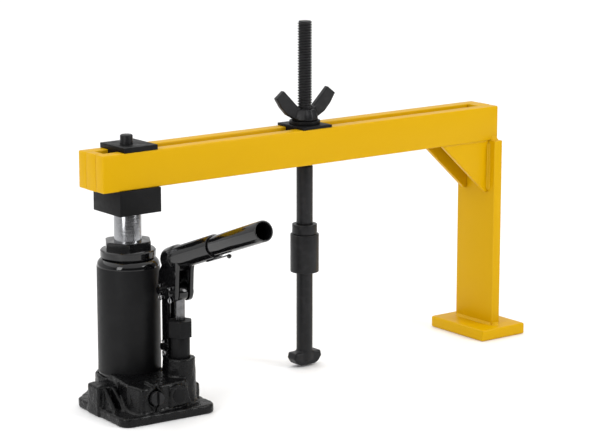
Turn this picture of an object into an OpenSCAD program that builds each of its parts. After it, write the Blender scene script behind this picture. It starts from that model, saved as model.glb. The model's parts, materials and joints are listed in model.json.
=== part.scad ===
// Hydraulic lifting frame: a bottle jack under one end of a slotted beam, a welded leg under the
// other, and a screw-adjusted T-key that hangs from the slot.
// Millimetres. Origin: the ram's axis at floor level. +X runs along the beam to the leg,
// -Y is the side of the pump handle, +Z is up.

/* [Beam] */
// Length of the beam
beam_l = 550; // [450:1:700]
// Height of the two bars
beam_h = 40; // [30:1:50]
// Thickness of each bar
bar_t = 15; // [10:1:20]
// Width of the slot between the bars
slot_w = 18; // [17:0.5:22]
// Height of the beam's underside above the floor
beam_z = 236; // [232:1:240]
// Distance from the beam's left end to the ram's axis
overhang = 45; // [35:1:70]

/* [Leg and foot] */
// Width of the leg plate
leg_w = 65; // [50:1:80]
// Thickness of the leg plate
leg_t = 12; // [8:1:16]
// Length of the foot along the beam
foot_l = 67; // [50:1:90]
// Width of the foot across the beam
foot_w = 93.6; // [70:0.2:120]
// Thickness of the foot
foot_t = 13.4; // [8:0.2:18]
// Reach of the gussets along the beam
gusset_l = 71; // [40:1:90]
// Drop of the gussets down the leg
gusset_h = 62; // [40:1:90]

/* [Saddle] */
// Side of the square saddle block
block_w = 52; // [48:1:60]
// Height of the saddle block
block_h = 26.7; // [24:0.1:28]
// Length of the clamp plate on top of the beam
clamp_l = 42; // [30:1:60]
// Height of the stud's end above the clamp plate
stud_end = 10; // [4:1:20]

/* [Jack] */
// Turn of the jack about the ram's axis, in degrees
jack_turn = -3.6; // [-8:0.1:0]
// Outer radius of the oil reservoir
tank_r = 33.8; // [32:0.1:35]
// Radius of the ram
ram_r = 14.8; // [13:0.1:15.5]
// Height of the gland nut's top face
gland_top = 178; // [176:0.5:180]
// Elevation of the pump handle above the horizontal, in degrees
handle_up = 19.4; // [15:0.1:22]
// Length of the handle tube
handle_l = 154; // [120:1:300]

/* [Lifting rod] */
// Distance from the ram's axis to the lifting rod
rod_x = 236.8; // [180:0.2:330]
// Height of the threaded rod's top
rod_top = 394; // [360:1:450]
// Major radius of the rod's thread
thread_r = 8; // [7:0.5:8]
// Length of the T-head
tee_l = 38; // [30:1:44]

/* [Hidden] */
$fn = 64;
eps = 0.01;

YELLOW = "#e0ac00";
BLACK = "#232324";
GLOSS = "#101012";
CAST = "#1a1a1b";
STEEL = "#b9bcc0";
RUBBER = "#2b2b2b";

// A running fit's radial clearance
run = 0.05;

// Beam and leg
beam_x0 = -overhang;
beam_x1 = beam_x0 + beam_l;
beam_y = slot_w / 2 + bar_t;
beam_top = beam_z + beam_h;
bar_edge = 1.5;
spacer_left = 10;
spacer_right = 18;
leg_x0 = beam_x1 - leg_t;
foot_cx = leg_x0 + leg_t / 2 + 0.5;
foot_edge = 2.5;
gusset_t = 6;
gusset_y = 16;
weld = 5;

// Saddle
recess_r = 17.5;
roof = 10;
plate_t = 5.5;
stud_r = 6.8;
dome_r = 18;
pivot_z = beam_z - roof - dome_r;

// Ram, piston and extension screw
ram_top = 213;
piston_z = 50;
piston_h = 16;
bore_r = 17.5;
spigot_r = 9;
screw_r = 9.95;
screw_z = 122;
head_r = 15;

// Jack base, in the jack's own turn
plate_h = 10;
seat_z = 31;
pump = [29, -58];
boss_r = 16.5;
boss_top = 58;
pump_seat = 36;
pin_r = 4;
pin_z = 128;
link_y = -38;
link_low_z = 66;
link_w = 12.6;
strap_t = 3.7;
lug_t = 5.4;
ear_t = 4;
ear_x = 11;
release = [-19, 27];
outlet = [11.5, 24];

// Handle, measured along its own axis from the point above the pump
axis_z = 165.8;
sleeve_l = 17;
socket_l = 77;
sleeve_r = 14;
socket_r = 12.5;
tube_r = 10.85;
tube_in = 9.2;
tube_start = 20;

// Lifting rod and key
shank_r = 9.25;
shank_top = 232;
collar_z = [153.5, 165];
sleeve_z = [110, 153.5];
sleeve_wall = 4;
key_head_r = 12.8;
tee_t = 16;
tee_z = 2;
tee_h = 15;
washer_z = beam_top + 3;
nut_z = washer_z + 4;

// ---------------------------------------------------------------- shared shapes

// Outline of round corners of radius r about the given centres, listed counter-clockwise
module rounded_outline(centres, r) {
    n = len(centres);
    polygon(centres);
    for (i = [0 : n - 1]) {
        a = centres[i];
        b = centres[(i + 1) % n];
        d = (b - a) / norm(b - a);
        out = [d[1], -d[0]] * r;
        polygon([a, a + out, b + out, b]);
        translate(a) circle(r);
    }
}

module rounded_rect(w, h, r) {
    rounded_outline([
        [r - w / 2, r - h / 2], [w / 2 - r, r - h / 2], [w / 2 - r, h / 2 - r], [r - w / 2, h / 2 - r]
    ], r);
}

module ring(outer, inner, h) {
    difference() {
        cylinder(r = outer, h = h);
        translate([0, 0, -1]) cylinder(r = inner, h = h + 2);
    }
}

// A hexagonal prism with chamfered upper corners
module hex_head(across_corners, h, chamfer) {
    intersection() {
        cylinder(d = across_corners, h = h, $fn = 6);
        rotate_extrude() polygon([
            [0, 0], [across_corners / 2 + 1, 0], [across_corners / 2 + 1, h - chamfer],
            [across_corners / 2 - chamfer, h], [0, h]
        ]);
    }
}

// A cylinder along X from x0 to x1
module x_rod(r, x0, x1) {
    translate([x0, 0, 0]) rotate([0, 90, 0]) cylinder(r = r, h = x1 - x0);
}

// A cylinder that starts at y0 and runs towards -Y
module y_rod(r, y0, l) {
    translate([0, y0, 0]) rotate([90, 0, 0]) cylinder(r = r, h = l);
}

module on_jack() {
    rotate([0, 0, jack_turn]) children();
}

module at_pump(z) {
    on_jack() translate([pump[0], pump[1], z]) children();
}

// The handle's own axis: children are drawn along +Z, outwards from above the pump
module on_handle() {
    at_pump(axis_z) rotate([90 - handle_up, 0, 0]) children();
}

module at_rod(z) {
    translate([rod_x, 0, z]) children();
}

// ---------------------------------------------------------------- beam and leg

module beam_bar(side) {
    color(YELLOW)
    translate([beam_x0, side * (slot_w + bar_t) / 2, beam_z + beam_h / 2])
        rotate([90, 0, 90]) linear_extrude(beam_l) rounded_rect(bar_t, beam_h, bar_edge);
}

module beam_spacer(x, l) {
    color(YELLOW)
    translate([x, -slot_w / 2, beam_z]) cube([l, slot_w, beam_h]);
}

module leg_plate() {
    color(YELLOW)
    translate([leg_x0, -leg_w / 2, foot_t]) cube([leg_t, leg_w, beam_z - foot_t]);
}

module foot_plate() {
    color(YELLOW)
    translate([foot_cx, 0, 0]) linear_extrude(foot_t) rounded_rect(foot_l, foot_w, foot_edge);
}

// A triangular plate whose outer face is at y
module gusset(y) {
    color(YELLOW)
    translate([leg_x0, y + gusset_t, beam_z]) rotate([90, 0, 0]) linear_extrude(gusset_t)
        polygon([[0, 0], [-gusset_l, 0], [-gusset_l + 4, -4], [-4, -gusset_h], [0, -gusset_h]]);
}

// A fillet of triangular section along +X of length l, in the corner open to -Y and +Z
module fillet(l, s = weld) {
    rotate([90, 0, 90]) linear_extrude(l) polygon([[0, 0], [-s, 0], [0, s]]);
}

module weld_beads() {
    outer = gusset_y + gusset_t;
    color(YELLOW) {
        for (side = [0, 1]) mirror([0, side, 0]) {
            // Beside the gusset, down the leg
            translate([leg_x0, -outer, beam_z - gusset_h + 3]) rotate([0, -90, 0])
                fillet(gusset_h - 4, 4);
            // On the leg's shoulder, against the bar
            translate([leg_x0 + 0.5, -beam_y, beam_z]) fillet(leg_t - 1);
            // Beside the foot of the leg
            translate([leg_x0, -leg_w / 2, foot_t]) fillet(leg_t);
        }
        // Across the foot of the leg, inside and outside
        translate([leg_x0, leg_w / 2, foot_t]) rotate([0, 0, -90]) fillet(leg_w);
        translate([leg_x0 + leg_t, -leg_w / 2, foot_t]) rotate([0, 0, 90]) fillet(leg_w);
    }
}

// ---------------------------------------------------------------- saddle

module saddle_block() {
    z0 = beam_z - block_h;
    color(BLACK)
    difference() {
        translate([-block_w / 2, -block_w / 2, z0]) cube([block_w, block_w, block_h]);
        translate([0, 0, z0 - 1]) cylinder(r = recess_r, h = block_h - roof + 1);
        cylinder(r = stud_r, h = beam_z + 1);
    }
}

module saddle_clamp_plate() {
    x0 = -clamp_l / 2 + 3;
    lug_w = slot_w - 0.6;
    color(BLACK)
    difference() {
        union() {
            translate([x0, -beam_y + 0.3, beam_top]) cube([clamp_l, 2 * beam_y - 0.6, plate_t]);
            translate([x0, -lug_w / 2, beam_top - 5]) cube([clamp_l, lug_w, 5 + eps]);
        }
        translate([0, 0, beam_top - 10]) cylinder(r = stud_r, h = 30);
    }
}

module saddle_stud() {
    z0 = beam_z - roof + 1;
    z1 = beam_top + plate_t + stud_end;
    color(BLACK)
    rotate_extrude() polygon([
        [0, z0], [stud_r, z0], [stud_r, z1 - 1], [stud_r - 1, z1], [0, z1]
    ]);
}

// ---------------------------------------------------------------- ram

module ram() {
    color(STEEL)
    difference() {
        union() {
            translate([0, 0, piston_z + piston_h]) cylinder(r = ram_r, h = ram_top - piston_z - piston_h);
            translate([0, 0, piston_z]) cylinder(r = spigot_r, h = piston_h + 1);
        }
        translate([0, 0, screw_z - 4]) cylinder(r = screw_r + run, h = ram_top);
    }
}

module ram_piston() {
    color(STEEL)
    difference() {
        translate([0, 0, piston_z]) ring(bore_r - run, spigot_r, piston_h);
        translate([0, 0, piston_z + 5]) ring(bore_r + 1, bore_r - 3, 5);
    }
}

module piston_seal() {
    color(RUBBER)
    translate([0, 0, piston_z + 5]) ring(bore_r - 0.02, bore_r - 3, 5);
}

module extension_screw() {
    shoulder = sqrt(pow(dome_r, 2) - pow(head_r, 2));
    color(STEEL) {
        translate([0, 0, screw_z]) cylinder(r = screw_r, h = ram_top - screw_z + 1);
        translate([0, 0, ram_top]) cylinder(r = head_r, h = pivot_z + shoulder - ram_top);
        translate([0, 0, pivot_z]) rotate_extrude() intersection() {
            circle(dome_r);
            translate([0, shoulder - eps]) square([head_r, dome_r]);
        }
    }
}

// ---------------------------------------------------------------- jack body

// The casting's foot: a plate with a straight front and clipped rear corners
module base_foot() {
    r = 12;
    linear_extrude(plate_h) rounded_outline([
        [-47, -79], [43, -79], [43, 5], [25, 23], [-28, 23], [-47, 5]
    ], r);
}

// The block that holds the valves, between the reservoir seat and the front wall
module valve_block() {
    r = 6;
    linear_extrude(38) rounded_outline([
        [-31, -81], [20, -73], [33, -56], [24, -16], [-28, -16], [-34, -62]
    ], r);
}

module jack_base() {
    color(CAST)
    on_jack() difference() {
        union() {
            base_foot();
            valve_block();
            cylinder(r = tank_r + 3.6, h = 33);
            translate([pump[0], pump[1], 0]) cylinder(r = boss_r, h = boss_top);
            // Side block and side lug
            translate([-60, -38, 0]) cube([30, 25, 33]);
            translate([36, -64, 0]) cube([14, 26, 28]);
            // Pedestal and lug for the link straps
            translate([pump[0] - 7, link_y - 7, 0]) cube([14, 14, boss_top]);
            translate([pump[0] - lug_t / 2, link_y - link_w / 2, 0]) cube([lug_t, link_w, link_low_z]);
            translate([pump[0], link_y, link_low_z]) x_rod(link_w / 2, -lug_t / 2, lug_t / 2);
        }
        // Seats of the reservoir, the inner cylinder and the pump
        translate([0, 0, seat_z]) cylinder(r = tank_r + run, h = 40);
        translate([0, 0, 25]) cylinder(r = bore_r + 3.5, h = 20);
        translate([pump[0], pump[1], pump_seat]) cylinder(r = 9.5, h = 40);
        // Suction valve pocket, delivery valve bore and release valve bore
        translate([pump[0], pump[1], 28]) cylinder(r = 4, h = 20);
        translate([pump[0], pump[1], 22]) cylinder(r = 1.5, h = 20);
        translate([outlet[0], 0, outlet[1]]) y_rod(6, -58, 50);
        translate([release[0], 0, release[1]]) y_rod(5, -60, 50);
        // Pin hole of the link lug
        translate([pump[0], link_y, link_low_z]) x_rod(pin_r + run, -20, 20);
    }
}

module reservoir_tube() {
    wall = 2.5;
    top = 160;
    neck = 27;
    shoulder = 9;
    color(GLOSS)
    rotate_extrude() difference() {
        union() {
            translate([tank_r - wall, seat_z + 1]) square([wall, top - shoulder - seat_z - 1]);
            intersection() {
                translate([tank_r - shoulder, top - shoulder]) circle(shoulder);
                translate([neck, top - shoulder - eps]) square([shoulder, shoulder + eps]);
            }
        }
        intersection() {
            translate([tank_r - shoulder, top - shoulder]) circle(shoulder - wall);
            translate([neck - 5, top - shoulder - 1]) square([shoulder + 5, shoulder]);
        }
    }
}

module tank_gasket() {
    color(RUBBER) translate([0, 0, seat_z]) ring(tank_r, tank_r - 2.5, 1);
}

module inner_cylinder() {
    color(STEEL) translate([0, 0, 25]) ring(bore_r + 3.5, bore_r, 125);
}

// The hexagonal gland nut: flange on the reservoir, skirt screwed onto the inner cylinder
module gland_nut() {
    hex_h = 9.5;
    flange_z = 160;
    color(BLACK)
    difference() {
        union() {
            translate([0, 0, gland_top - hex_h]) hex_head(54.4, hex_h, 1.8);
            rotate_extrude() polygon([
                [0, flange_z], [29, flange_z], [29.8, flange_z + 1], [29.8, gland_top - hex_h - 1.2],
                [28.6, gland_top - hex_h], [0, gland_top - hex_h]
            ]);
            translate([0, 0, 136]) cylinder(r = 26, h = 25);
        }
        translate([0, 0, 135]) cylinder(r = bore_r + 3.5, h = 17);
        translate([0, 0, 152]) cylinder(r = 19, h = 6);
        cylinder(r = ram_r + run, h = 200);
    }
}

module gland_seal() {
    color(RUBBER) translate([0, 0, 152]) ring(19, ram_r + run, 6);
}

// A rubber plug in the back of the reservoir
module oil_filler_plug() {
    color(RUBBER)
    on_jack() rotate([0, 0, 100]) translate([tank_r, 0, 138]) rotate([0, 90, 0])
        rotate_extrude() polygon([[0, 0.3], [5, 0.3], [5, 1.5], [3.5, 3], [0, 3]]);
}

module pump_body() {
    color(BLACK)
    at_pump(0) difference() {
        union() {
            translate([0, 0, pump_seat]) cylinder(r = 9.5, h = boss_top - pump_seat + eps);
            translate([0, 0, boss_top]) cylinder(r = 10.25, h = 22.6);
            translate([0, 0, 80]) cylinder(r = 8, h = 8);
        }
        translate([0, 0, pump_seat + 4]) cylinder(r = 5.35, h = 60);
        cylinder(r = 2, h = 60);
    }
}

module pump_nut() {
    color(BLACK)
    at_pump(80.6) difference() {
        hex_head(27.7, 17.4, 1.2);
        translate([0, 0, -1]) cylinder(r = 8, h = 12.4);
        cylinder(r = 5.3, h = 20);
    }
}

module plunger_seal() {
    color(RUBBER) at_pump(88) ring(8, 5.3, 4);
}

// Two straps that hold the lever's fulcrum above the base
module link_straps() {
    color(BLACK)
    on_jack() for (side = [-1, 1])
        translate([pump[0] + side * (lug_t / 2 + 0.3 + strap_t / 2), 0, 0]) difference() {
            union() {
                translate([-strap_t / 2, link_y - link_w / 2, link_low_z])
                    cube([strap_t, link_w, pin_z - link_low_z]);
                for (z = [link_low_z, pin_z])
                    translate([0, link_y, z]) x_rod(link_w / 2, -strap_t / 2, strap_t / 2);
            }
            for (z = [link_low_z, pin_z])
                translate([0, link_y, z]) x_rod(pin_r + run, -strap_t, strap_t);
        }
}

// A headed pin along X, with a cross hole for a split pin at its plain end
module headed_pin(y, z, x0, x1) {
    color(BLACK)
    on_jack() translate([pump[0], y, z]) difference() {
        union() {
            x_rod(pin_r, x0, x1);
            translate([x1 - eps, 0, 0]) rotate([0, 90, 0]) rotate_extrude()
                polygon([[0, 0], [6, 0], [6, 2], [4.5, 3.4], [0, 3.4]]);
        }
        translate([x0 + 2.5, 0, -10]) cylinder(r = 0.9, h = 20);
    }
}

// A split pin that hangs through a cross hole, with its eye below and its legs bent above
module split_pin(y, z, x) {
    wire = 0.8;
    eye_r = 2.6;
    color(STEEL)
    on_jack() translate([pump[0] + x, y, z]) {
        translate([0, 0, -pin_r - 1]) cylinder(r = wire, h = 2 * pin_r + 3.4);
        translate([0, 0, pin_r + 2.2]) x_rod(wire, -2.5, wire);
        translate([0, 0, -pin_r - 1 - eye_r]) rotate([0, 90, 0])
            rotate_extrude() translate([eye_r, 0]) circle(wire);
    }
}

module valve_plug() {
    color(BLACK)
    on_jack() translate([outlet[0], -81, outlet[1]]) rotate([90, 0, 0]) difference() {
        union() {
            translate([0, 0, -10]) cylinder(r = 6, h = 12);
            translate([0, 0, 1.5]) hex_head(16, 2.4, 0.6);
        }
        translate([0, 0, -11]) cylinder(r = 4, h = 7);
    }
}

module delivery_ball() {
    color(STEEL) on_jack() translate([outlet[0], -61.5, outlet[1]]) sphere(3.5);
}

// The delivery valve's spring, as a stack of closed turns
module delivery_spring() {
    turns = 5;
    pitch = 2.2;
    color(STEEL)
    on_jack() translate([outlet[0], -66, outlet[1]]) rotate([90, 0, 0])
        for (i = [0 : turns - 1]) translate([0, 0, i * pitch])
            rotate_extrude() translate([2.8, 0]) circle(0.5, $fn = 24);
}

module suction_ball() {
    color(STEEL) at_pump(31) sphere(3);
}

module release_ball() {
    color(STEEL) on_jack() translate([release[0], -63, release[1]]) sphere(3);
}

// Spindle with a notched head that the handle's end turns
module release_valve() {
    color(STEEL)
    on_jack() translate([release[0], 0, release[1]]) difference() {
        union() {
            y_rod(5 - run, -66, 22);
            y_rod(7.5, -86.6, 6.4);
        }
        translate([-1.6, -94, -8]) cube([3.2, 4.5, 16]);
    }
}

// ---------------------------------------------------------------- handle and plunger

// Side view of one ear of the lever: y to the right, z up
module ear_outline() {
    translate([link_y, pin_z]) circle(8);
    translate([pump[1], pin_z]) circle(9.5);
    polygon([
        [pump[1], pin_z - 9.5], [link_y - 0.6, pin_z - 8], [link_y + 8, pin_z], [link_y + 4, 148],
        [-43, 160], [-72, 168], [pump[1] - 11, 152], [pump[1] - 9.5, pin_z]
    ]);
}

// The socket's tube, thicker over its rear sleeve
module socket_tube() {
    translate([0, 0, -sleeve_l]) cylinder(r = sleeve_r, h = sleeve_l);
    translate([0, 0, -sleeve_l]) cylinder(r = socket_r, h = sleeve_l + socket_l);
}

module handle_socket() {
    color(GLOSS)
    on_handle() difference() {
        socket_tube();
        translate([0, 0, -40]) cylinder(r = tube_r + run, h = 200);
    }
}

// The two plates under the socket that swing on the fulcrum and carry the plunger's pin
module socket_ears() {
    color(GLOSS)
    difference() {
        on_jack() for (x = [-ear_x, ear_x - ear_t])
            translate([pump[0] + x, 0, 0]) rotate([90, 0, 90]) linear_extrude(ear_t) ear_outline();
        on_handle() socket_tube();
        on_jack() for (y = [link_y, pump[1]])
            translate([pump[0], y, pin_z]) x_rod(pin_r + run, -20, 20);
    }
}

// A leaf spring under the socket's mouth, with a round nose
module handle_clip() {
    color(BLACK)
    on_handle() {
        translate([-3, -socket_r - 1.2, 58]) cube([6, 1.2, 42]);
        translate([0, -socket_r - 1.6, 100]) sphere(2.4);
    }
}

module handle_tube() {
    color(GLOSS)
    on_handle() translate([0, 0, tube_start]) ring(tube_r, tube_in, handle_l);
}

// The pump plunger: its eye is longer than the pin, for the pin's small arc
module pump_plunger() {
    eye_t = 10;
    slack = 1;
    color(STEEL)
    at_pump(0) difference() {
        union() {
            translate([0, 0, 60]) cylinder(r = 5.25, h = pin_z - 66);
            translate([0, 0, pin_z]) x_rod(8.5, -eye_t / 2, eye_t / 2);
        }
        for (y = [-slack / 2, 2 * slack]) translate([0, y, pin_z]) x_rod(pin_r + 0.4, -10, 10);
        translate([-10, -slack / 2, pin_z - pin_r - 0.4]) cube([20, 2.5 * slack, 2 * pin_r + 0.8]);
    }
}

// ---------------------------------------------------------------- rod, nut and key

module slot_plate() {
    lug_w = slot_w - 0.6;
    color(BLACK)
    difference() {
        union() {
            at_rod(beam_top) translate([-20, -beam_y, 0]) cube([40, 2 * beam_y, washer_z - beam_top]);
            at_rod(beam_top - 5) translate([-20, -lug_w / 2, 0]) cube([40, lug_w, 5 + eps]);
        }
        at_rod(beam_top - 10) cylinder(r = thread_r + 0.4, h = 30);
    }
}

module thrust_washer() {
    color(BLACK) at_rod(washer_z) ring(17.3, thread_r + 0.4, nut_z - washer_z);
}

// One wing of the nut, seen from the front: x outwards, z up from the nut's base
module wing_outline() {
    polygon([[6, 14], [10, 15], [31, 35.5], [41, 27.5], [34, 17], [26, 8.5], [16, 3], [6, 2]]);
}

module wing_nut() {
    wing_t = 6.5;
    color(BLACK)
    at_rod(nut_z) difference() {
        union() {
            rotate_extrude() polygon([[0, 0], [14.3, 0], [15.2, 2], [14.2, 7], [11.8, 13], [0, 13]]);
            for (side = [0, 1]) mirror([side, 0, 0])
                translate([0, wing_t / 2, 0]) rotate([90, 0, 0]) linear_extrude(wing_t) wing_outline();
        }
        translate([0, 0, -1]) cylinder(r = thread_r + run, h = 40);
    }
}

// The threaded rod, chamfered at its top
module lifting_rod() {
    color(BLACK)
    at_rod(0) rotate_extrude() polygon([
        [0, shank_top], [thread_r, shank_top], [thread_r, rod_top - 1.5], [thread_r - 1.5, rod_top],
        [0, rod_top]
    ]);
}

// The plain shank that the threaded rod is welded to, down into the coupling sleeve
module rod_shank() {
    z0 = sleeve_z[0] + 18;
    color(BLACK)
    at_rod(0) rotate_extrude() polygon([
        [0, z0], [shank_r, z0], [shank_r, shank_top - 1.2], [shank_r - 1.2, shank_top], [0, shank_top]
    ]);
}

module coupling_collar() {
    color(BLACK) at_rod(collar_z[0]) ring(14.1, shank_r, collar_z[1] - collar_z[0]);
}

// The sleeve that carries the key by its head and lets it turn
module coupling_sleeve() {
    h = sleeve_z[1] - sleeve_z[0];
    color(BLACK)
    at_rod(sleeve_z[0]) difference() {
        cylinder(r = 16.2, h = h);
        translate([0, 0, -1]) cylinder(r = shank_r + run, h = 10);
        translate([0, 0, sleeve_wall]) cylinder(r = key_head_r + 0.2, h = 14);
        translate([0, 0, 10]) cylinder(r = shank_r, h = h);
    }
}

// Side view of the T-head: a bar with small upper corners and large lower ones
module tee_outline() {
    low = 8;
    high = 3;
    half = tee_l / 2;
    rounded_outline([[low - half, low], [half - low, low], [0, low + 1]], low);
    translate([-half, low]) square([tee_l, tee_h - low - high]);
    translate([high - half, low]) square([tee_l - 2 * high, tee_h - low]);
    for (side = [-1, 1]) translate([side * (half - high), tee_h - high]) circle(high);
}

module t_key() {
    head_z = sleeve_z[0] + sleeve_wall;
    color(BLACK)
    at_rod(0) {
        translate([0, 0, tee_z + 5]) cylinder(r = shank_r, h = head_z - tee_z - 5 + eps);
        translate([0, 0, head_z]) cylinder(r = key_head_r, h = 10);
        translate([0, tee_t / 2, tee_z]) rotate([90, 0, 0]) linear_extrude(tee_t) tee_outline();
    }
}

// ---------------------------------------------------------------- drawing

beam_bar(-1);  // beam_bar_front
beam_bar(1);  // beam_bar_rear
beam_spacer(beam_x0, spacer_left);  // beam_spacer_left
beam_spacer(beam_x1 - spacer_right, spacer_right);  // beam_spacer_right
leg_plate();
foot_plate();
gusset(-gusset_y - gusset_t);  // gusset_front
gusset(gusset_y);  // gusset_rear
weld_beads();
saddle_block();
saddle_clamp_plate();
saddle_stud();
ram();
ram_piston();
piston_seal();
extension_screw();
jack_base();
reservoir_tube();
tank_gasket();
inner_cylinder();
gland_nut();
gland_seal();
oil_filler_plug();
pump_body();
pump_nut();
plunger_seal();
link_straps();
headed_pin(link_y, pin_z, -15, ear_x + 0.3);  // fulcrum_pin
headed_pin(link_y, link_low_z, -11, 6.9);  // link_base_pin
union() {  // fulcrum_split_pins
    split_pin(link_y, pin_z, -12.5);
    split_pin(link_y, link_low_z, -8.5);
}
valve_plug();
delivery_ball();
delivery_spring();
suction_ball();
release_ball();
release_valve();
handle_socket();
socket_ears();
handle_clip();
headed_pin(pump[1], pin_z, -15, ear_x + 0.3);  // plunger_pin
split_pin(pump[1], pin_z, -12.5);  // plunger_split_pin
handle_tube();
pump_plunger();
slot_plate();
thrust_washer();
wing_nut();
lifting_rod();
rod_shank();
coupling_collar();
coupling_sleeve();
t_key();
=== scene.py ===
import json
import math

import bmesh
import bpy
import numpy as np
from mathutils import Matrix, Vector

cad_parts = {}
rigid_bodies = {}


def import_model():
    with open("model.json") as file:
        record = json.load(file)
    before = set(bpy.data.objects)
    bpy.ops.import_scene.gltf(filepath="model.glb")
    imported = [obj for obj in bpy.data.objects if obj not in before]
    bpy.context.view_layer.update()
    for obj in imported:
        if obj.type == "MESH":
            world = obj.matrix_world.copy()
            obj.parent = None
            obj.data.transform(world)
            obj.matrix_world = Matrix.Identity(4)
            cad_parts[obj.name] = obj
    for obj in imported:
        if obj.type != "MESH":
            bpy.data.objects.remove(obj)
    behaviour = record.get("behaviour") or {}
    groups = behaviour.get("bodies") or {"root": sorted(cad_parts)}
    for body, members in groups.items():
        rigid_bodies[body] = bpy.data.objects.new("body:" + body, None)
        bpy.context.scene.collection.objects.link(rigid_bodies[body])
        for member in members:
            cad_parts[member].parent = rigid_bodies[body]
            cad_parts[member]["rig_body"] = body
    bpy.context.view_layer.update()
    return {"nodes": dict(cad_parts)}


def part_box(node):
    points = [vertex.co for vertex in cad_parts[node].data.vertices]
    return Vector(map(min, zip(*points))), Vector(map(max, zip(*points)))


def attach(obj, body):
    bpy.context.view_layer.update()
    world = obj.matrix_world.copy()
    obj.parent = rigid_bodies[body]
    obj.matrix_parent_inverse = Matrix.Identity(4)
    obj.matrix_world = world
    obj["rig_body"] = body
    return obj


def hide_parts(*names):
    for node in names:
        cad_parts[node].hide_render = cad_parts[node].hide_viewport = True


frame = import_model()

MM = 0.001

# Brightness of the studio: the room in front, the backdrop behind, and the light overhead
ROOM = 0.1
BACKDROP = 0.9
OVERHEAD = 2.4

# ---------------------------------------------------------------- camera

CAMERA_AT = Vector((-1.3234, -2.0377, 0.7102))
CAMERA_LOOKS = Vector((0.5915, 0.7793, -0.2070))
CAMERA_LENS = 142.25


def make_camera():
    data = bpy.data.cameras.new("camera")
    data.lens = CAMERA_LENS
    data.sensor_width = 36
    data.clip_end = 50
    camera = bpy.data.objects.new("camera", data)
    camera.location = CAMERA_AT
    camera.rotation_euler = CAMERA_LOOKS.to_track_quat("-Z", "Y").to_euler()
    bpy.context.scene.collection.objects.link(camera)
    bpy.context.scene.camera = camera


# ---------------------------------------------------------------- materials


class Material:
    """A Principled material whose colour, roughness and bump come from noise in the object's own space."""

    def __init__(self, name, color, roughness, metallic=0.0, **sockets):
        self.data = bpy.data.materials.new(name)
        self.data.use_nodes = True
        self.nodes = self.data.node_tree.nodes
        self.links = self.data.node_tree.links
        self.shader = self.nodes["Principled BSDF"]
        self.place = self.nodes.new("ShaderNodeTexCoord").outputs["Object"]
        self.color = (*color, 1)
        self.shader.inputs["Base Color"].default_value = self.color
        self.shader.inputs["Roughness"].default_value = roughness
        self.shader.inputs["Metallic"].default_value = metallic
        self.normal = None
        for socket, value in sockets.items():
            self.shader.inputs[socket.replace("_", " ")].default_value = value

    def noise(self, size, detail=3.0, stretch=(1, 1, 1)):
        """Noise with features of this size in metres, longer along an axis with a stretch below 1."""
        mapping = self.nodes.new("ShaderNodeMapping")
        mapping.inputs["Scale"].default_value = stretch
        self.links.new(self.place, mapping.inputs["Vector"])
        noise = self.nodes.new("ShaderNodeTexNoise")
        noise.inputs["Scale"].default_value = 1 / size
        noise.inputs["Detail"].default_value = detail
        self.links.new(mapping.outputs["Vector"], noise.inputs["Vector"])
        return noise.outputs["Fac"]

    def ramp(self, value, low, high, out_low=0.0, out_high=1.0):
        spread = self.nodes.new("ShaderNodeMapRange")
        numbers = {"From Min": low, "From Max": high, "To Min": out_low, "To Max": out_high}
        for socket, number in numbers.items():
            spread.inputs[socket].default_value = number
        self.links.new(value, spread.inputs["Value"])
        return spread.outputs["Result"]

    def edges(self, radius):
        """A mask that is 1 along convex and concave edges within this radius, which the finishes use to paint
        highlights along edges.
        """
        bevel = self.nodes.new("ShaderNodeBevel")
        bevel.samples = 4
        bevel.inputs["Radius"].default_value = radius
        surface = self.nodes.new("ShaderNodeNewGeometry")
        dot = self.nodes.new("ShaderNodeVectorMath")
        dot.operation = "DOT_PRODUCT"
        self.links.new(bevel.outputs["Normal"], dot.inputs[0])
        self.links.new(surface.outputs["Normal"], dot.inputs[1])
        return self.ramp(dot.outputs["Value"], 0.995, 0.85)

    def tint(self, mask, color):
        """Mixes another colour in where the mask is 1."""
        mix = self.nodes.new("ShaderNodeMix")
        mix.data_type = "RGBA"
        mix.inputs["A"].default_value = self.color
        mix.inputs["B"].default_value = (*color, 1)
        base = self.shader.inputs["Base Color"]
        if base.is_linked:
            self.links.new(base.links[0].from_socket, mix.inputs["A"])
        self.links.new(mask, mix.inputs["Factor"])
        self.links.new(mix.outputs["Result"], base)

    def rough(self, value, low, high, out_low, out_high):
        self.links.new(self.ramp(value, low, high, out_low, out_high), self.shader.inputs["Roughness"])

    def bump(self, value, height, strength=1.0):
        bump = self.nodes.new("ShaderNodeBump")
        bump.inputs["Distance"].default_value = height
        bump.inputs["Strength"].default_value = strength
        self.links.new(value, bump.inputs["Height"])
        if self.normal:
            self.links.new(self.normal, bump.inputs["Normal"])
        self.normal = bump.outputs["Normal"]
        self.links.new(self.normal, self.shader.inputs["Normal"])


def powder_coat():
    m = Material("yellow_powder_coat", (0.61, 0.345, 0.0), 0.34, Specular_IOR_Level=0.09)
    m.tint(m.ramp(m.noise(60 * MM), 0.35, 0.7, 0, 0.3), (0.575, 0.318, 0.0))
    m.tint(m.ramp(m.noise(2.4 * MM, 2), 0.62, 0.75, 0, 0.2), (0.66, 0.385, 0.004))
    # Painted highlight: a lighter yellow along convex and concave edges within 1.2 mm, standing in for light
    # caught by the rounded edges.
    m.tint(m.edges(1.2 * MM), (0.75, 0.47, 0.05))
    m.rough(m.noise(14 * MM), 0.3, 0.7, 0.31, 0.42)
    m.bump(m.noise(2.1 * MM, 1.5), 0.05 * MM)
    m.bump(m.noise(0.5 * MM, 1), 0.008 * MM)
    return m.data


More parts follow.
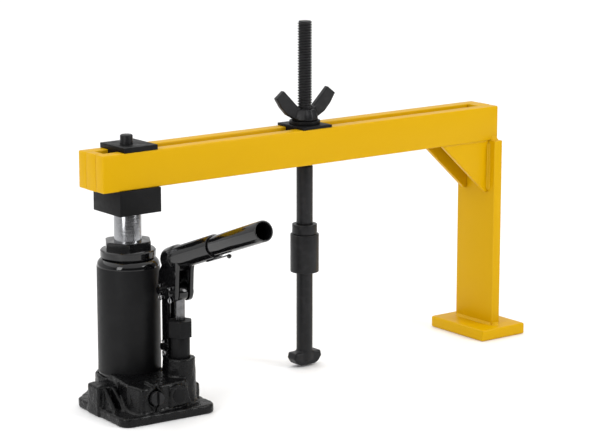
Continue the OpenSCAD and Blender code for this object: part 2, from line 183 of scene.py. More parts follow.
def satin_black():
    m = Material("satin_black_coat", (0.006, 0.006, 0.0064), 0.42, Specular_IOR_Level=0.1)
    m.tint(m.ramp(m.noise(9 * MM, 4), 0.5, 0.75, 0, 0.5), (0.0095, 0.0095, 0.01))
    # Painted highlight: a lighter grey along convex and concave edges within 0.7 mm.
    m.tint(m.ramp(m.edges(0.7 * MM), 0, 1, 0, 0.6), (0.034, 0.034, 0.036))
    m.rough(m.noise(5 * MM, 4), 0.3, 0.7, 0.36, 0.5)
    m.bump(m.noise(0.9 * MM, 3), 0.02 * MM)
    return m.data


def oxide_black():
    """The darker, oily finish of threads and forged parts."""
    m = Material("black_oxide", (0.0115, 0.0115, 0.0124), 0.4, 0.3, Specular_IOR_Level=0.26)
    m.tint(m.ramp(m.noise(6 * MM, 5), 0.48, 0.72, 0, 0.6), (0.022, 0.0215, 0.023))
    # Painted highlight: a lighter grey along convex and concave edges within 0.5 mm.
    m.tint(m.ramp(m.edges(0.5 * MM), 0, 1, 0, 0.5), (0.05, 0.05, 0.055))
    m.rough(m.noise(3 * MM, 4), 0.3, 0.7, 0.3, 0.48)
    m.bump(m.noise(0.7 * MM, 4), 0.025 * MM)
    return m.data


def gloss_enamel():
    m = Material("gloss_black_enamel", (0.003, 0.003, 0.0033), 0.1, Specular_IOR_Level=0.3,
                 Coat_Weight=0.3, Coat_Roughness=0.03)
    m.tint(m.ramp(m.noise(25 * MM), 0.4, 0.7, 0, 0.5), (0.005, 0.005, 0.0056))
    m.rough(m.noise(11 * MM, 4), 0.3, 0.75, 0.07, 0.16)
    m.bump(m.noise(6 * MM, 1), 0.05 * MM)
    m.bump(m.noise(1.3 * MM, 1), 0.004 * MM)
    return m.data


def wrap_film():
    m = Material("satin_wrap", (0.0065, 0.0065, 0.007), 0.42, Specular_IOR_Level=0.14)
    m.tint(m.ramp(m.noise(18 * MM, 4), 0.4, 0.7, 0, 0.6), (0.0105, 0.0105, 0.0112))
    m.rough(m.noise(4 * MM, 3), 0.3, 0.7, 0.4, 0.48)
    m.bump(m.noise(0.8 * MM, 2), 0.006 * MM)
    return m.data


def cast_enamel():
    m = Material("enamel_on_casting", (0.0025, 0.0025, 0.0028), 0.3, Specular_IOR_Level=0.12,
                 Coat_Weight=0.12, Coat_Roughness=0.1)
    m.tint(m.ramp(m.noise(5 * MM, 5), 0.5, 0.72, 0, 0.6), (0.006, 0.006, 0.0065))
    # Painted glints: small scattered specks much lighter than the enamel, standing in for sparkle of light on
    # the rough casting.
    m.tint(m.ramp(m.noise(1.4 * MM, 4), 0.66, 0.72, 0, 0.5), (0.05, 0.051, 0.055))
    m.rough(m.noise(4 * MM, 5), 0.35, 0.7, 0.2, 0.42)
    m.bump(m.noise(3.4 * MM, 3), 0.5 * MM, 0.8)
    m.bump(m.noise(1.8 * MM, 4), 0.5 * MM, 1.0)
    return m.data


def ground_steel():
    m = Material("ground_steel", (0.4, 0.405, 0.42), 0.2, 1.0, Anisotropic=0.4)
    m.tint(m.ramp(m.noise(30 * MM, 3), 0.4, 0.7, 0, 0.5), (0.32, 0.325, 0.34))
    m.rough(m.noise(0.7 * MM, 3, (0.06, 0.06, 1)), 0.3, 0.7, 0.15, 0.28)
    m.bump(m.noise(0.3 * MM, 2, (0.03, 0.03, 1)), 0.003 * MM)
    return m.data


def plain_steel():
    m = Material("bright_plated_steel", (0.42, 0.42, 0.43), 0.3, 1.0)
    m.tint(m.ramp(m.noise(3 * MM, 4), 0.45, 0.7, 0, 0.6), (0.26, 0.255, 0.25))
    m.rough(m.noise(2 * MM, 4), 0.3, 0.7, 0.22, 0.42)
    m.bump(m.noise(0.6 * MM, 3), 0.01 * MM)
    return m.data


def dark_steel():
    """Hardened bar, ground along its length and darkened by oil."""
    m = Material("oiled_steel", (0.16, 0.16, 0.165), 0.28, 1.0)
    m.tint(m.ramp(m.noise(5 * MM, 4), 0.42, 0.7, 0, 0.6), (0.1, 0.098, 0.095))
    m.rough(m.noise(1.2 * MM, 4, (1, 1, 0.1)), 0.3, 0.7, 0.22, 0.38)
    m.bump(m.noise(0.5 * MM, 3, (1, 1, 0.1)), 0.006 * MM)
    return m.data


def seal_rubber():
    m = Material("seal_rubber", (0.016, 0.016, 0.016), 0.62)
    m.tint(m.ramp(m.noise(2 * MM, 4), 0.45, 0.7, 0, 0.6), (0.03, 0.03, 0.03))
    m.rough(m.noise(1.5 * MM, 4), 0.3, 0.7, 0.55, 0.75)
    m.bump(m.noise(0.4 * MM, 4), 0.02 * MM)
    return m.data


def studio_floor():
    m = Material("studio_floor", (0.93, 0.93, 0.93), 0.55)
    m.tint(m.ramp(m.noise(400 * MM), 0.3, 0.7, 0, 0.3), (0.91, 0.912, 0.915))
    return m.data


FINISHES = {
    "yellow": (powder_coat(), "yellow_paint"),
    "black": (satin_black(), "black_paint"),
    "oxide": (oxide_black(), "black_paint"),
    "gloss": (gloss_enamel(), "gloss_black"),
    "wrap": (wrap_film(), "gloss_black"),
    "cast": (cast_enamel(), "cast_black"),
    "ground": (ground_steel(), "ground_steel"),
    "plated": (plain_steel(), "ground_steel"),
    "stem": (dark_steel(), "ground_steel"),
    "rubber": (seal_rubber(), "black_rubber"),
}

# ---------------------------------------------------------------- mesh tools


def add_piece(name, mesh, finish, nodes, body=None, smooth=35):
    """Puts a finished mesh on the body of the CAD nodes it replaces, or on the named body."""
    material, slot = FINISHES[finish]
    mesh.materials.clear()
    mesh.materials.append(material)
    mesh.shade_smooth()
    mesh.set_sharp_from_angle(angle=math.radians(smooth))
    piece = bpy.data.objects.new(name, mesh)
    bpy.context.scene.collection.objects.link(piece)
    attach(piece, body or frame["nodes"][nodes[0]]["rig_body"])
    if nodes:
        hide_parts(*nodes)
    return piece


def mesh_of(name, verts, faces):
    mesh = bpy.data.meshes.new(name)
    mesh.from_pydata([tuple(v) for v in verts], [], faces)
    mesh.validate()
    mesh.update()
    return mesh


def tube_faces(rows, around):
    """Faces of a tube whose points come in rings, with both ends closed."""
    faces = []
    for row in range(rows):
        a, b = row * around, (row + 1) * around
        for k in range(around):
            n = (k + 1) % around
            faces.append((a + k, a + n, b + n, b + k))
    faces.append(list(range(around))[::-1])
    faces.append([rows * around + k for k in range(around)])
    return faces


def clean(bm, near=0.002 * MM):
    bmesh.ops.remove_doubles(bm, verts=bm.verts, dist=near)
    bmesh.ops.dissolve_degenerate(bm, edges=bm.edges, dist=near)
    bmesh.ops.recalc_face_normals(bm, faces=bm.faces)


def bevel_edges(bm, edges, width, segments):
    bmesh.ops.bevel(
        bm, geom=edges, offset=width, offset_type="OFFSET", segments=segments, profile=0.5,
        affect="EDGES", clamp_overlap=True,
    )


def rounded_box(node, finish, radius, segments=4):
    """A bar or plate with every edge rounded, in the box of its CAD node."""
    low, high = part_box(node)
    bm = bmesh.new()
    bmesh.ops.create_cube(bm, size=1.0)
    size = high - low
    for v in bm.verts:
        v.co = Vector(low[i] + (v.co[i] + 0.5) * size[i] for i in range(3))
    bevel_edges(bm, bm.edges[:], radius, segments)
    mesh = bpy.data.meshes.new(node)
    bm.to_mesh(mesh)
    bm.free()
    return add_piece(node + "_shaped", mesh, finish, [node])


def refined(node, finish, width, segments=2, sharp=28):
    """A copy of a CAD node's mesh with its sharp edges rounded over."""
    bm = bmesh.new()
    bm.from_mesh(frame["nodes"][node].data)
    clean(bm)
    bmesh.ops.dissolve_limit(
        bm, angle_limit=math.radians(0.6), verts=bm.verts, edges=bm.edges, delimit={"NORMAL"}
    )
    edges = [e for e in bm.edges if len(e.link_faces) == 2 and e.calc_face_angle() > math.radians(sharp)]
    bevel_edges(bm, edges, width, segments)
    mesh = bpy.data.meshes.new(node)
    bm.to_mesh(mesh)
    bm.free()
    return add_piece(node + "_shaped", mesh, finish, [node])


def lathe(profile, segments=96, place=Matrix.Identity(4), closed=False, sweep=2 * math.pi):
    """Turns (radius, height) points about Z. A closed profile makes a ring; an open one ends on the axis."""
    whole = abs(sweep - 2 * math.pi) < 1e-6
    columns = segments if whole else segments + 1
    verts, faces = [], []
    for i in range(columns):
        angle = sweep * i / segments
        for r, z in profile:
            verts.append(place @ Vector((r * math.cos(angle), r * math.sin(angle), z)))
    count = len(profile)
    for i in range(segments):
        a, b = i * count, ((i + 1) % columns) * count
        for k in range(count if closed else count - 1):
            n = (k + 1) % count
            faces.append((a + k, b + k, b + n, a + n))
    if not whole:
        faces.append(list(range(count))[::-1])
        faces.append([segments * count + k for k in range(count)])
    bm = bmesh.new()
    bm_verts = [bm.verts.new(v) for v in verts]
    for face in faces:
        corners = [bm_verts[k] for k in face]
        if len(set(corners)) > 2:
            bm.faces.new(corners)
    clean(bm)
    mesh = bpy.data.meshes.new("lathe")
    bm.to_mesh(mesh)
    bm.free()
    return mesh


def arc(centre_r, centre_z, radius, start, end, steps=8):
    """Points of a round stretch of a profile, from one angle to another in degrees."""
    angles = [math.radians(start + (end - start) * i / steps) for i in range(steps + 1)]
    return [(centre_r + radius * math.cos(a), centre_z + radius * math.sin(a)) for a in angles]


def soft_ring(outer, inner, low, high, edge):
    """A closed ring profile with rounded corners."""
    return (
        arc(outer - edge, high - edge, edge, 0, 90, 4)
        + arc(inner + edge, high - edge, edge, 90, 180, 4)
        + arc(inner + edge, low + edge, edge, 180, 270, 4)
        + arc(outer - edge, low + edge, edge, 270, 360, 4)
    )


# ---------------------------------------------------------------- carved forms


class Solid:
    """A solid as a distance field on a grid, in metres. Unions and cuts blend over a fillet radius."""

    def __init__(self, low, high, step):
        self.low, self.step = np.array(low, float), step
        axes = [np.arange(a, b + step, step) for a, b in zip(low, high)]
        self.x, self.y, self.z = np.meshgrid(*axes, indexing="ij")
        self.field = np.full(self.x.shape, 1.0)

    def add(self, other, fillet):
        self.field = self.blend(self.field, other, fillet)

    def cut(self, other, fillet):
        self.field = -self.blend(-self.field, other, fillet)

    @staticmethod
    def blend(a, b, fillet):
        mix = np.clip(0.5 + 0.5 * (b - a) / fillet, 0, 1)
        return b * (1 - mix) + a * mix - fillet * mix * (1 - mix)

    def box(self, low, high, edge):
        """Distance to a box between two corners, with its edges rounded."""
        centre = [(a + b) / 2 for a, b in zip(low, high)]
        half = [(b - a) / 2 - edge for a, b in zip(low, high)]
        q = [np.abs(p - c) - h for p, c, h in zip((self.x, self.y, self.z), centre, half)]
        outside = np.sqrt(sum(np.maximum(d, 0) ** 2 for d in q))
        return outside + np.minimum(np.maximum(np.maximum(q[0], q[1]), q[2]), 0) - edge

    def rod(self, axis, centre, radius, low, high, edge, taper=0.0):
        """Distance to a cylinder along an axis: centre gives its place on the other two axes."""
        along = (self.x, self.y, self.z)[axis]
        across = [p for i, p in enumerate((self.x, self.y, self.z)) if i != axis]
        radial = np.hypot(across[0] - centre[0], across[1] - centre[1])
        mid = (low + high) / 2
        size = radius - taper * (along - mid)
        q = radial - size + edge, np.abs(along - mid) - (high - low) / 2 + edge
        outside = np.hypot(np.maximum(q[0], 0), np.maximum(q[1], 0))
        return outside + np.minimum(np.maximum(q[0], q[1]), 0) - edge

    def outline(self, u, v, points, across, low, high, edge, grow=0.0, taper=0.0):
        """Distance to an outline in the plane of u and v, grown with round corners, between low and high."""
        nearest = np.full(u.shape, np.inf)
        sign = np.ones(u.shape)
        for (ax, ay), (bx, by) in zip(points, points[1:] + points[:1]):
            ex, ey = bx - ax, by - ay
            wx, wy = u - ax, v - ay
            along = np.clip((wx * ex + wy * ey) / (ex * ex + ey * ey), 0, 1)
            nearest = np.minimum(nearest, np.hypot(wx - ex * along, wy - ey * along))
            above, below, left = v >= ay, v < by, ex * wy > ey * wx
            sign = np.where((above & below & left) | ~(above | below | left), -sign, sign)
        mid = (low + high) / 2
        rim = sign * nearest - grow + taper * (across - mid) + edge
        q = rim, np.abs(across - mid) - (high - low) / 2 + edge
        outside = np.hypot(np.maximum(q[0], 0), np.maximum(q[1], 0))
        return outside + np.minimum(np.maximum(q[0], q[1]), 0) - edge

    def mesh(self, name, place=Matrix.Identity(4)):
        """The surface, with one vertex in each cell that it passes through."""
        f = self.field
        inside = f < 0
        cells = tuple(n - 1 for n in f.shape)
        corners = [(i, j, k) for i in (0, 1) for j in (0, 1) for k in (0, 1)]

        def at(array, offset):
            return array[tuple(slice(o, o + n) for o, n in zip(offset, cells))]

        total = np.zeros((*cells, 3))
        count = np.zeros(cells)
        for a in corners:
            for axis in range(3):
                if a[axis]:
                    continue
                b = tuple(v + (i == axis) for i, v in enumerate(a))
                fa, fb = at(f, a), at(f, b)
                crossed = at(inside, a) != at(inside, b)
                where = np.where(crossed, fa / np.where(crossed, fa - fb, 1), 0)
                for i in range(3):
                    total[..., i] += np.where(crossed, a[i] + (where if i == axis else 0), 0)
                count += crossed
        used = count > 0
        index = np.full(cells, -1)
        index[used] = np.arange(int(used.sum()))
        origin = np.stack(np.nonzero(used), axis=1)
        points = self.low + (origin + total[used] / count[used][:, None]) * self.step
        faces = []
        for axis in range(3):
            b, c = (axis + 1) % 3, (axis + 2) % 3
            ahead = np.roll(inside, -1, axis)
            crossing = inside != ahead
            crossing[tuple(slice(-1, None) if i == axis else slice(None) for i in range(3))] = False
            hits = np.stack(np.nonzero(crossing), axis=1)
            keep = (hits[:, b] > 0) & (hits[:, c] > 0)
            keep &= (hits[:, b] < cells[b]) & (hits[:, c] < cells[c])
            hits = hits[keep]
            ring = []
            for db, dc in ((1, 1), (0, 1), (0, 0), (1, 0)):
                cell = hits.copy()
                cell[:, b] -= db
                cell[:, c] -= dc
                ring.append(index[cell[:, 0], cell[:, 1], cell[:, 2]])
            quads = np.stack(ring, axis=1)
            outward = inside[hits[:, 0], hits[:, 1], hits[:, 2]]
            faces += quads[outward].tolist() + quads[~outward][:, ::-1].tolist()
        return mesh_of(name, [place @ Vector(p) for p in points], faces)


# ---------------------------------------------------------------- beam, leg and welds


def make_weldment():
    for node, edge in (
        ("beam_bar_front", 1.6), ("beam_bar_rear", 1.6), ("beam_spacer_left", 0.8),
        ("beam_spacer_right", 0.8), ("leg_plate", 1.1), ("foot_plate", 2.2),
    ):
        rounded_box(node, "yellow", edge * MM)
    for node in ("gusset_front", "gusset_rear"):
        refined(node, "yellow", 0.8 * MM, 3)


# Section of a bead: how far it reaches along the two faces that it joins
BEAD = [(-0.1, -0.1), (1.0, -0.1), (1.0, 0.02), (0.8, 0.17), (0.6, 0.36), (0.36, 0.6), (0.17, 0.8),
        (0.02, 1.0), (-0.1, 1.0)]


def weld_bead(start, end, toward, size, seed):
    """A faintly rippled bead along a corner. The two directions lead out of the corner along its faces."""
    a, b = Vector(start), Vector(end)
    length = (b - a).length
    along = (b - a) / length
    first, second = (Vector(t) for t in toward)
    ripple = 2.2 * MM
    rings = max(12, int(length / (0.45 * MM)))
    verts = []
    for i in range(rings + 1):
        s = length * i / rings
        crest = math.sqrt(max(0.0, 1 - (2 * (s / ripple % 1.0) - 1) ** 2))
        wander = 0.05 * math.sin(s / (9 * MM) + seed) + 0.04 * math.sin(s / (3.7 * MM) + 2 * seed)
        taper = min(1.0, (s + 0.2 * MM) / (2 * MM), (length - s + 0.2 * MM) / (2 * MM))
        reach = size * (0.88 + 0.06 * crest + wander) * (0.3 + 0.7 * taper)
        for u, v in BEAD:
            lag = along * (0.5 * MM * max(0.0, u) * max(0.0, v))
            verts.append(a + along * s + (first * u + second * v) * reach - lag)
    return verts, tube_faces(rings, len(BEAD))


def make_welds():
    """Beads where the gussets, the leg and the foot meet, joined in one piece."""
    leg_low, leg_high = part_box("leg_plate")
    bar_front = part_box("beam_bar_front")[0].y
    x0, x1, y0, y1 = leg_low.x, leg_high.x, leg_low.y, leg_high.y
    foot_z, beam_z = leg_low.z, leg_high.z
    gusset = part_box("gusset_front")[0]
    left, right, up, back = (-1, 0, 0), (1, 0, 0), (0, 0, 1), (0, 1, 0)
    front, down = (0, -1, 0), (0, 0, -1)
    runs = []
    for outer, out in ((gusset.y, front), (-gusset.y, back)):
        runs.append(((x0, outer, gusset.z + 3 * MM), (x0, outer, beam_z - 3 * MM), (left, out), 2.8))
        runs.append(((gusset.x + 4 * MM, outer, beam_z), (x0 - 4 * MM, outer, beam_z), (down, out), 1.6))
    for side, out in ((y0, front), (y1, back)):
        bar = bar_front if side < 0 else -bar_front
        runs.append(((x0 + 1 * MM, bar, beam_z), (x1 - 0.5 * MM, bar, beam_z), (up, out), 4.6))
        runs.append(((x0 + 1 * MM, side, foot_z), (x1 - 1 * MM, side, foot_z), (up, out), 3.0))
    runs.append(((x0, y0 + 1 * MM, foot_z), (x0, y1 - 1 * MM, foot_z), (up, left), 3.0))
    runs.append(((x1, y0 + 1 * MM, foot_z), (x1, y1 - 1 * MM, foot_z), (up, right), 3.0))
    verts, faces = [], []
    for i, (a, b, toward, size) in enumerate(runs):
        v, f = weld_bead(a, b, toward, size * MM, 1.7 * i)
        faces += [[k + len(verts) for k in face] for face in f]
        verts += v
    mesh = mesh_of("weld_beads", verts, faces)
    bm = bmesh.new()
    bm.from_mesh(mesh)
    clean(bm)
    bm.to_mesh(mesh)
    bm.free()
    add_piece("weld_beads_shaped", mesh, "yellow", ["weld_beads"], smooth=60)


# ---------------------------------------------------------------- saddle and ram


def make_saddle():
    refined("saddle_block", "black", 0.9 * MM, 3)
    refined("saddle_clamp_plate", "black", 0.5 * MM, 2)
    refined("saddle_stud", "oxide", 0.4 * MM, 2)


def make_ram():
    refined("ram", "ground", 0.4 * MM, 2)
    refined("extension_screw", "plated", 0.3 * MM, 2)


# ---------------------------------------------------------------- jack

# In the jack's own turn: the pump in plan, and the two valves on the front, across and up
JACK_TURN = math.radians(-3.6)
ON_JACK = Matrix.Rotation(JACK_TURN, 4, "Z")
PUMP = (29 * MM, -58 * MM)
RELEASE_VALVE = (-19 * MM, 27 * MM)
VALVE_PLUG = (11.5 * MM, 24 * MM)


def outline_mm(points):
    return [(a * MM, b * MM) for a, b in points]


def make_base():
    """The casting, carved in the jack's own turn."""
    s = Solid((-66 * MM, -97 * MM, -2 * MM), (60 * MM, 39 * MM, 75 * MM), 1.0 * MM)
    x, y, z = s.x, s.y, s.z
    # Foot plate, and the seat of the reservoir that flares into it
    foot = outline_mm([(-47, -79), (43, -79), (43, 5), (25, 23), (-28, 23), (-47, 5)])
    s.field = s.outline(x, y, foot, z, 0, 10 * MM, 2.2 * MM, grow=11.7 * MM)
    s.add(s.rod(2, (0, 0), 38.2 * MM, 0, 33 * MM, 1.8 * MM, 0.07), 9 * MM)
    # Valve block behind the front wall, and the pump's boss
    wall = outline_mm([(-31, -81), (20, -74), (33, -56), (24, -16), (-28, -16), (-34, -62)])
    s.add(s.outline(x, y, wall, z, 0, 38 * MM, 2.5 * MM, grow=6 * MM, taper=0.06), 5 * MM)
    s.add(s.rod(2, PUMP, 16.2 * MM, 0, 58 * MM, 1.5 * MM, 0.03), 3.5 * MM)
    # Side block, and the lug on the other side
    s.add(s.box((-60 * MM, -38 * MM, 0), (-30 * MM, -13 * MM, 33 * MM), 3.0 * MM), 3.5 * MM)
    s.add(s.box((36 * MM, -64 * MM, 2 * MM), (50 * MM, -38 * MM, 28 * MM), 3.5 * MM), 2.5 * MM)
    # Two ribs between the foot and the wall's left end
    for low_x, high_x in ((-44, -40), (-54, -50)):
        rib = outline_mm([(-66, 8), (-40, 8), (-40, 30), (-48, 24)])
        s.add(s.outline(y, z, rib, x, low_x * MM, high_x * MM, 1.5 * MM), 5 * MM)
    # Raised pad round the valve plug, and the boss of the release valve with a fin above and below
    pad = outline_mm([(2, 14), (24, 15), (20, 31), (10, 34), (3, 32)])
    s.add(s.outline(x, z, pad, y, -84.6 * MM, -60 * MM, 1.2 * MM, grow=2 * MM), 1.6 * MM)
    s.add(s.rod(1, RELEASE_VALVE, 11.5 * MM, -86 * MM, -60 * MM, 1.5 * MM), 2 * MM)
    keyhole = outline_mm([
        (-15.6, 9), (-15.6, 15), (-9, 22), (-7.6, 27), (-9, 32), (-15.6, 38), (-15.6, 42),
        (-22.4, 42), (-22.4, 38), (-29, 32), (-30.4, 27), (-29, 22), (-22.4, 15), (-22.4, 9),
    ])
    s.add(s.outline(x, z, keyhole, y, -88.4 * MM, -70 * MM, 0.5 * MM), 0.6 * MM)
    s.cut(s.outline(x, z, keyhole, y, -95 * MM, -85.6 * MM, 0.3 * MM, grow=-2.2 * MM), 0.4 * MM)
    # Pedestal and lug of the links
    s.add(s.box((22 * MM, -45 * MM, 10 * MM), (36 * MM, -31 * MM, 58 * MM), 1.5 * MM), 3 * MM)
    s.add(s.box((26.3 * MM, -44.3 * MM, 40 * MM), (31.7 * MM, -31.7 * MM, 72 * MM), 1 * MM), 1.5 * MM)
    # Seat of the reservoir, well of the inner cylinder, and the bores
    s.cut(s.rod(2, (0, 0), 33.9 * MM, 31 * MM, 90 * MM, 0.2 * MM), 0.6 * MM)
    s.cut(s.rod(2, (0, 0), 21.1 * MM, 24.9 * MM, 90 * MM, 0.2 * MM), 0.6 * MM)
    s.cut(s.rod(1, RELEASE_VALVE, 8.1 * MM, -100 * MM, -80.2 * MM, 0.5 * MM), 0.4 * MM)
    s.cut(s.rod(1, VALVE_PLUG, 6.1 * MM, -100 * MM, -62 * MM, 0.3 * MM), 0.6 * MM)
    s.cut(s.rod(2, PUMP, 9.6 * MM, 36 * MM, 90 * MM, 0.3 * MM), 0.6 * MM)
    # A flat underside, and the skin of the sand mould on all the rest
    s.field = np.maximum(s.field, -z)
    rough = np.sin(x / (2.3 * MM) + 1.7 * np.sin(y / (3.1 * MM)))
    rough += np.sin(z / (2.7 * MM) + 1.9 * np.sin(x / (3.7 * MM) + y / (2.9 * MM)))
    s.field = s.field + 0.13 * MM * rough * np.clip((z - 3 * MM) / (4 * MM), 0, 1)
    add_piece("jack_base_casting", s.mesh("jack_base", ON_JACK), "cast", ["jack_base"], smooth=60)


def make_reservoir():
    low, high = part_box("reservoir_tube")
    outer, wall, shoulder = (high.x - low.x) / 2, 2.5 * MM, 9 * MM
    top, neck = high.z, 27 * MM
    profile = [(outer - wall, low.z), (outer, low.z)]
    profile += arc(outer - shoulder, top - shoulder, shoulder, 0, 80, 14)
    profile += [(neck, top), (neck, top - wall)]
    profile += arc(outer - shoulder, top - shoulder, shoulder - wall, 78, 0, 10)
    add_piece("reservoir_shell", lathe(profile, 128, closed=True), "gloss", ["reservoir_tube"])
    # Plain satin film round the side, open in a narrow strip at the back
    film = 0.07 * MM
    gap = math.radians(20)
    start = Matrix.Rotation(math.radians(90) + gap / 2, 4, "Z")
    band = soft_ring(outer + film, outer + 0.01 * MM, low.z + 3.5 * MM, top - shoulder, 0.02 * MM)
    film_mesh = lathe(band, 120, start, closed=True, sweep=2 * math.pi - gap)
    add_piece("reservoir_film", film_mesh, "wrap", [], body="jack")


def make_jack_fittings():
    refined("gland_nut", "gloss", 0.5 * MM, 3)
    refined("pump_body", "black", 0.4 * MM, 2)
    refined("pump_nut", "black", 0.5 * MM, 2)
    refined("link_straps", "gloss", 0.4 * MM, 2)
    refined("valve_plug", "black", 0.5 * MM, 2)
    refined("release_valve", "oxide", 0.4 * MM, 2)
    for node in ("fulcrum_pin", "link_base_pin", "plunger_pin"):
        refined(node, "gloss", 0.3 * MM, 2)
    refined("oil_filler_plug", "rubber", 0.5 * MM, 2)


# ---------------------------------------------------------------- handle

HANDLE_UP = math.radians(19.4)
HANDLE_Z = 165.8 * MM


def on_handle():
    """The handle's own axis as +Z, from the point above the pump."""
    tilt = Matrix.Rotation(math.pi / 2 - HANDLE_UP, 4, "X")
    return ON_JACK @ Matrix.Translation((*PUMP, HANDLE_Z)) @ tilt


def make_handle():
    refined("handle_socket", "gloss", 0.5 * MM, 3)
    refined("socket_ears", "gloss", 0.5 * MM, 3)
    refined("handle_clip", "gloss", 0.2 * MM, 2)
    plunger = refined("pump_plunger", "stem", 0.3 * MM, 2)
    plunger.data.materials.append(FINISHES["gloss"][0])
    eye_height = 17.2 * MM
    eye_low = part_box("pump_plunger")[1].z - eye_height
    for face in plunger.data.polygons:
        face.material_index = int(face.center.z > eye_low)
    start, length = 20 * MM, 154 * MM
    outer, inner, lip = 10.85 * MM, 9.2 * MM, 0.78 * MM
    tube = soft_ring(outer, inner, start, start + length, lip)
    add_piece("handle_tube_shaped", lathe(tube, 96, on_handle(), closed=True), "gloss", ["handle_tube"])


# ---------------------------------------------------------------- rod, nut and key


def make_threaded_rod():
    """The lifting rod, with the coarse right-hand thread of a lead screw."""
    low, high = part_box("lifting_rod")
    cx, cy = (low.x + high.x) / 2, (low.y + high.y) / 2
    major, minor, pitch = (high.x - low.x) / 2, 6.6 * MM, 3.0 * MM
    around, per_turn = 48, 12
    rows = int((high.z - low.z) / pitch * per_turn)
    heights = [low.z + (high.z - low.z) * i / rows for i in range(rows + 1)]
    verts = []
    for height in heights:
        for k in range(around):
            angle = 2 * math.pi * k / around
            phase = (height / pitch - k / around) % 1.0
            tooth = min(1.0, max(0.0, 2.6 * abs(2 * phase - 1) - 0.75))
            r = min(minor + (major - minor) * tooth, major - 1.4 * MM + (high.z - height))
            verts.append((cx + r * math.cos(angle), cy + r * math.sin(angle), height))
    mesh = mesh_of("lifting_rod", verts, tube_faces(rows, around))
    add_piece("lifting_rod_threaded", mesh, "oxide", ["lifting_rod"], smooth=30)


def make_wing_nut():
    low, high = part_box("wing_nut")
    cx, base = (low.x + high.x) / 2, low.z
    pad = 2 * MM
    s = Solid((low.x - pad, low.y - pad, low.z - pad), (high.x + pad, high.y + pad, high.z + pad), 0.65 * MM)
    u, v = s.x - cx, s.z - base
    hub = outline_mm([
        (-14.2, 0.5), (-14.8, 2), (-13.8, 7), (-11.5, 12.6), (11.5, 12.6), (13.8, 7), (14.8, 2), (14.2, 0.5),
    ])
    flutes = 0.35 * MM * np.cos(10 * np.arctan2(s.y, u)) * np.clip(v / (4 * MM), 0, 1)
    s.field = s.outline(np.hypot(u, s.y) + flutes, v, hub, s.y, -30 * MM, 30 * MM, 0.1 * MM, grow=0.2 * MM)
    wing = outline_mm([(6, 14), (11, 15.5), (30.6, 35), (40.5, 27.4), (34, 17), (26, 8.5), (16, 3), (6, 2)])
    for side in (1, -1):
        s.add(s.outline(side * u, v, wing, s.y, -3.3 * MM, 3.3 * MM, 1.2 * MM, grow=0.4 * MM), 2.2 * MM)
    s.cut(s.rod(2, (cx, 0), 8.05 * MM, base - 5 * MM, base + 30 * MM, 0.1 * MM), 0.5 * MM)
    add_piece("wing_nut_forged", s.mesh("wing_nut"), "oxide", ["wing_nut"], smooth=60)


def make_key():
    """The T-key: a forged head that blends into its rod, and the head that hangs in the sleeve."""
    low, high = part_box("t_key")
    cx = (low.x + high.x) / 2
    pad = 1.6 * MM
    half = (high.x - low.x) / 2
    deep = 14 * MM + pad
    s = Solid((cx - half - pad, -deep, low.z - pad), (cx + half + pad, deep, high.z + pad), 0.8 * MM)
    shank, head_z = 9.25 * MM, 114 * MM
    s.field = s.rod(2, (cx, 0), shank, low.z + 6 * MM, high.z - 2 * MM, 0.5 * MM)
    s.add(s.rod(2, (cx, 0), 12.8 * MM, head_z, high.z, 0.8 * MM), 0.4 * MM)
    head = outline_mm([(-17, 9), (-13.5, 4), (-9, 2), (9, 2), (13.5, 4), (17, 9), (16, 13), (-16, 13)])
    s.add(s.outline(s.x - cx, s.z - low.z, head, s.y, -8 * MM, 8 * MM, 2.2 * MM, grow=2 * MM), 3 * MM)
    add_piece("t_key_forged", s.mesh("t_key"), "oxide", ["t_key"], smooth=60)


def make_rod_parts():
    make_threaded_rod()
    make_wing_nut()
    make_key()
    refined("rod_shank", "oxide", 0.4 * MM, 2)
    refined("slot_plate", "black", 0.4 * MM, 2)
    for node, finish, edge in (
        ("thrust_washer", "black", 0.5), ("coupling_collar", "oxide", 0.7), ("coupling_sleeve", "oxide", 0.8),
    ):
        refined(node, finish, edge * MM, 3)


# ---------------------------------------------------------------- hidden CAD parts

HIDDEN = {
    "ram_piston": "plated", "piston_seal": "rubber", "tank_gasket": "rubber", "inner_cylinder": "ground",
    "gland_seal": "rubber", "plunger_seal": "rubber", "fulcrum_split_pins": "plated",
    "plunger_split_pin": "plated", "delivery_ball": "ground", "delivery_spring": "plated",
    "suction_ball": "ground", "release_ball": "ground",
}


def paint_cad_nodes():
    for node, finish in HIDDEN.items():
        mesh = frame["nodes"][node].data
        mesh.materials.clear()
        mesh.materials.append(FINISHES[finish][0])


# ---------------------------------------------------------------- studio


def make_floor():
    side = 6.0
    corners = [(-side, -side, 0), (side, -side, 0), (side, side, 0), (-side, side, 0)]
    mesh = mesh_of("floor", corners, [(0, 1, 2, 3)])
    mesh.materials.append(studio_floor())
    floor = bpy.data.objects.new("floor", mesh)
    bpy.context.scene.collection.objects.link(floor)


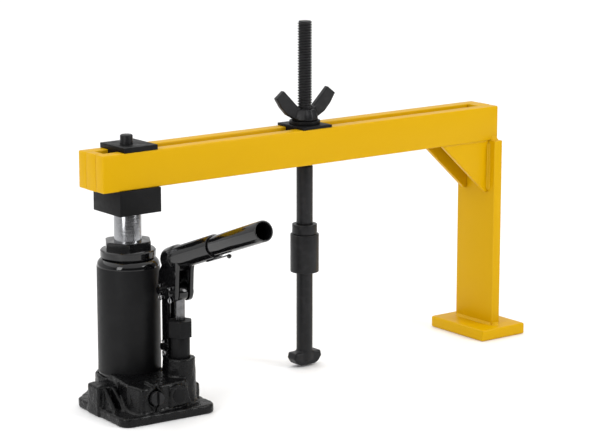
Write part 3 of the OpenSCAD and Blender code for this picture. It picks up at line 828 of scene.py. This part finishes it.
def area_light(name, at, target, size, power):
    data = bpy.data.lights.new(name, "AREA")
    data.shape = "RECTANGLE"
    data.size, data.size_y = size
    data.energy = power
    light = bpy.data.objects.new(name, data)
    light.location = at
    light.rotation_euler = (Vector(target) - Vector(at)).to_track_quat("-Z", "Y").to_euler()
    bpy.context.scene.collection.objects.link(light)


def make_world():
    """A white backdrop behind the object and a darker room in front of it."""
    world = bpy.data.worlds.new("studio")
    world.use_nodes = True
    nodes, links = world.node_tree.nodes, world.node_tree.links
    seen = nodes["Background"]
    seen.inputs["Color"].default_value = (1, 1, 1, 1)
    place = nodes.new("ShaderNodeTexCoord")
    split = nodes.new("ShaderNodeSeparateXYZ")
    fade = nodes.new("ShaderNodeMapRange")
    fade.interpolation_type = "SMOOTHSTEP"
    for socket, number in {"From Min": -0.45, "From Max": 0.5, "To Min": ROOM, "To Max": BACKDROP}.items():
        fade.inputs[socket].default_value = number
    room = nodes.new("ShaderNodeBackground")
    path = nodes.new("ShaderNodeLightPath")
    mix = nodes.new("ShaderNodeMixShader")
    links.new(place.outputs["Generated"], split.inputs["Vector"])
    links.new(split.outputs["Y"], fade.inputs["Value"])
    links.new(fade.outputs["Result"], room.inputs["Strength"])
    links.new(path.outputs["Is Camera Ray"], mix.inputs["Fac"])
    links.new(room.outputs["Background"], mix.inputs[1])
    links.new(seen.outputs["Background"], mix.inputs[2])
    links.new(mix.outputs["Shader"], nodes["World Output"].inputs["Surface"])
    bpy.context.scene.world = world


def overhead_light():
    """A wide, even light from straight above, which keeps the floor white."""
    data = bpy.data.lights.new("overhead", "SUN")
    data.energy = OVERHEAD
    data.angle = math.radians(120)
    light = bpy.data.objects.new("overhead", data)
    bpy.context.scene.collection.objects.link(light)


def make_studio():
    make_world()
    overhead_light()
    middle = (0.22, 0, 0.2)
    area_light("key_left", (-2.1, -0.9, 1.1), middle, (0.7, 1.5), 22)
    area_light("front_right", (1.5, -2.1, 1.3), middle, (0.8, 1.5), 30)
    bpy.context.scene.view_settings.view_transform = "Standard"


make_camera()
make_weldment()
make_welds()
make_saddle()
make_ram()
make_base()
make_reservoir()
make_jack_fittings()
make_handle()
make_rod_parts()
paint_cad_nodes()
make_floor()
make_studio()
